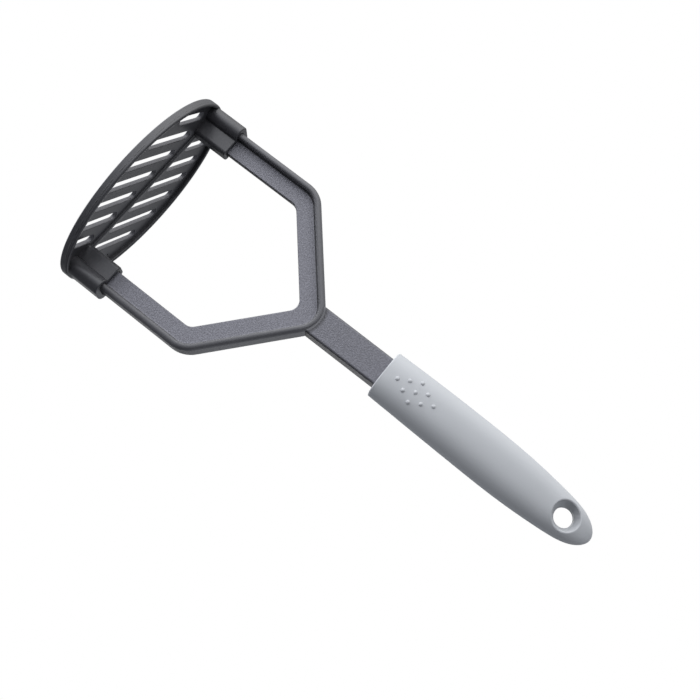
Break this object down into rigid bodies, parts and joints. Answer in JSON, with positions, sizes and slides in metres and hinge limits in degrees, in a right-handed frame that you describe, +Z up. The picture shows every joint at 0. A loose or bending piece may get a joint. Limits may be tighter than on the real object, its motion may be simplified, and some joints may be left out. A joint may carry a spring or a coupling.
{
  "type": "potato masher",
  "caption": "Potato masher with a slotted oval head, a five-sided flanged yoke, a flat shaft and an arched soft-touch grip with a hanging hole.",
  "frame": {"origin": "middle of the oval plate's flat underside, on which the masher stands", "axes": "+Z up along the handle from the plate to the tip; X along the plate's long axis from arm to arm; -Y is the front, which carries the grip bumps, and the handle arches towards +Y"},
  "size_m": [0.108, 0.069, 0.2618],
  "materials": {
    "head_nylon": "smooth satin charcoal nylon",
    "yoke_nylon": "finely spark-eroded charcoal nylon with smooth edges",
    "core_plastic": "plain moulded, hidden",
    "soft_grip": "mid-grey soft-touch skin, satin"
  },
  "bodies": {
    "root": {"masher_head": "head_nylon", "yoke": "yoke_nylon", "handle_core": "core_plastic", "grip": "soft_grip"}
  },
  "joints": []
}
